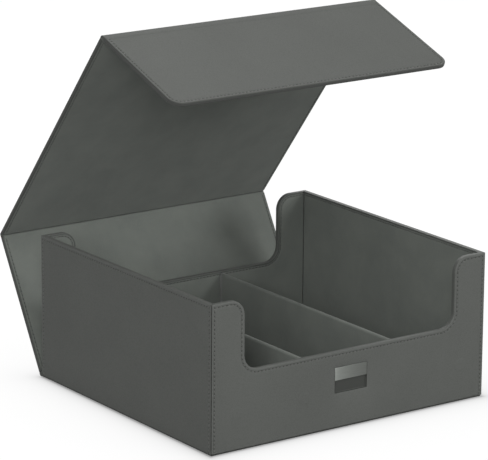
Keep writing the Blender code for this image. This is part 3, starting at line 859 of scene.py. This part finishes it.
# underside, recess and plate
underside = {"half": 133.0, "front": -121.0, "rear": 109.7,  # set in from the walls, which leaves a dark line
             "thick": 0.8, "edge": 0.35}
under = outlineOf(plainShape(-underside["half"], underside["half"], underside["front"], underside["rear"]))
underRows = [(i, i, i, underside["thick"] - drop, 0, 0.8 if i < 1 else 0)  # its edge is painted dark, painted shade under the walls' foot
             for i, drop in softSheet(underside["thick"], underside["edge"])]
undersideSkin = layeredSheet("undersideSkin", under, underRows, onLevel(underside["thick"]), "leatherette", "tray")
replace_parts(undersideSkin, "underside_skin")

recessParts = {"lip": 0.16, "plateHalf": 15.58, "plateLow": 39.75, "plateHigh": 50.33,
               "plateFront": 0.16, "plateThick": 0.85, "plateEdge": 0.14}
frontPlace = onWall(0, -case["depth"] / 2, 0)


def smallSheet(name, shape, rows, finish):
    # a small closed part of the front wall, its faces filled straight across
    outline = outlineOf(shape)
    loops = [outline["at"](inset, inset, inset) for inset, _ in rows]
    count = len(loops[0])
    points = np.vstack([frontPlace(loop, np.full(count, depth)) for loop, (_, depth) in zip(loops, rows)])
    starts, j = np.arange(len(rows)) * count, np.arange(count)
    faces = loopFaces(starts[:-1], starts[1:], count).tolist() + [j[::-1].tolist(), (starts[-1] + j).tolist()]
    piece = makePiece(name, points, faces, finish, "tray")
    return piece


low, high, half, lip = recess["low"], recess["high"], recess["half"], recessParts["lip"]
recessRows = [(2.2, 1.5), (1.4, 1.5), (lip + 0.5, 1.48), (lip + 0.2, 1.38), (lip + 0.06, 1.2), (lip, 1.0),
              (lip, 0.22), (lip - 0.04, 0.12), (lip - 0.07, 0.1), (0.07, 0.1), (0.03, 0.14), (0.0, 0.22), (0.0, 2.0)]
mouldedTray = smallSheet("mouldedRecess", plainShape(-half, half, low, high), recessRows, "dark_recess")
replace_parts(mouldedTray, "plate_recess")
front, half = recessParts["plateFront"], recessParts["plateHalf"]
plateRows = [(1.5, front), (0.6, front)]
plateRows += [(i, front + drop) for i, drop in roundedEdge(recessParts["plateEdge"], (10, 30, 50, 70, 90))]
plateRows += [(0.0, front + recessParts["plateThick"])]
plate = smallSheet("plainPlate", plainShape(-half, half, recessParts["plateLow"], recessParts["plateHigh"]),
                   plateRows, "brushed_plate")
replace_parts(plate, "front_plate")
print("underside, recess and plate set")

# hidden layers keep their own shapes
hidden = {"greyboard": "_board", "magnet": "_magnet_"}
for finish, part in hidden.items():
    for node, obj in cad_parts.items():
        if part in node:
            for slot in obj.material_slots:
                slot.material = finishes[finish]
print("boards and magnets finished")

# floor, world and lamps
studio = {"paper": ("#9e9e9e", "#a2a2a2"), "cloud": 25.0,  # cloud in mm
          "half": 9.0, "level": -0.0002,  # the floor's half width and its height, in metres
          "glow": 1.06, "near": 0.17, "far": 0.95,  # how much of its own white shows, at the case and far off; the low share at the case paints a contact shadow
          "soft": 0.0025,  # metres from the tray at which it is half way
          "world": 0.12, "aim": (0, 0, 0.12)}
lamps = {  # place, size in metres, watts
    "leftSoftbox": ((-2.2, -1.5, 0.7), 1.4, 8.0),     # low, which lights the linings
    "keySoftbox": ((-1.75, -1.85, 1.35), 1.4, 36.5),  # under the lid, onto the back panel
    "topSoftbox": ((-0.3, -0.9, 2.5), 1.6, 18.5),
    "rightSoftbox": ((1.6, -2.2, 1.2), 1.4, 36.0),
    "rearSoftbox": ((0.9, 2.3, 1.5), 1.4, 28.0),
}


def seenRays(tree):
    # 1 for rays that show a thing as it looks: from the camera, mirrored or through glass
    rays = addNode(tree, "LightPath").outputs
    direct = addNode(tree, "Math", (rays["Is Camera Ray"], rays["Is Glossy Ray"]), 0, operation="MAXIMUM")
    return addNode(tree, "Math", (direct, rays["Is Transmission Ray"]), 0, operation="MAXIMUM")


floorMesh = bpy.data.meshes.new("studioFloor")
corners = [(x * studio["half"], y * studio["half"], studio["level"]) for x, y in ((-1, -1), (1, -1), (1, 1), (-1, 1))]
floorMesh.from_pydata(corners, [], [(0, 1, 2, 3)])
floor = bpy.data.objects.new("studioFloor", floorMesh)
bpy.context.scene.collection.objects.link(floor)
floorMaterial, tree, place = startMaterial("paperFloor")
cloud = addNode(tree, "TexNoise", {"Vector": place, "Scale": 1 / (studio["cloud"] * mm), "Detail": 2.0}, "Fac")
paper = addNode(tree, "Mix", {0: cloud, 6: linear(studio["paper"][0]), 7: linear(studio["paper"][1])},
                2, data_type="RGBA")
sheet = addNode(tree, "BsdfDiffuse", {"Color": paper}, 0)
glow = addNode(tree, "Emission", {"Color": (1, 1, 1, 1), "Strength": studio["glow"]}, 0)
# Painted contact shadow: the white share falls towards the tray's footprint, darkening the floor round the foot; the
# diffuse paper also shows the real shadow.
trayHalf = (case["width"] / 2 * mm, case["depth"] / 2 * mm, 0)
outside = addNode(tree, "VectorMath", (place,), 0, operation="ABSOLUTE")
outside = addNode(tree, "VectorMath", (outside, trayHalf), 0, operation="SUBTRACT")
outside = addNode(tree, "VectorMath", (outside, (0, 0, 0)), 0, operation="MAXIMUM")
distance = addNode(tree, "VectorMath", (outside,), "Value", operation="LENGTH")
further = addNode(tree, "Math", (distance, studio["soft"]), 0, operation="ADD")
rising = addNode(tree, "Math", (distance, further), 0, operation="DIVIDE")
white = addNode(tree, "MapRange", (rising, 0.0, 1.0, studio["near"], studio["far"]), 0)
share = addNode(tree, "Math", (seenRays(tree), white), 0, operation="MULTIPLY")
mixed = addNode(tree, "MixShader", (share, sheet, glow), 0)
addNode(tree, "OutputMaterial", {"Surface": mixed})
floorMesh.materials.append(floorMaterial)

world = bpy.data.worlds.new("whiteStudio")
bpy.context.scene.world = world
world.use_nodes = True
tree = world.node_tree
tree.nodes.clear()
lightSide = addNode(tree, "Background", {"Color": (1, 1, 1, 1), "Strength": studio["world"]}, 0)
whiteSide = addNode(tree, "Background", {"Color": (1, 1, 1, 1), "Strength": 1.0}, 0)
both = addNode(tree, "MixShader", (seenRays(tree), lightSide, whiteSide), 0)
addNode(tree, "OutputWorld", {"Surface": both})

for name, (spot, size, watts) in lamps.items():
    lampData = bpy.data.lights.new(name, "AREA")
    lampData.shape = "DISK"
    lampData.size = size
    lampData.energy = watts
    lamp = bpy.data.objects.new(name, lampData)
    lamp.location = spot
    lamp.rotation_euler = (Vector(studio["aim"]) - Vector(spot)).to_track_quat("-Z", "Y").to_euler()
    bpy.context.scene.collection.objects.link(lamp)
print("studio lit")
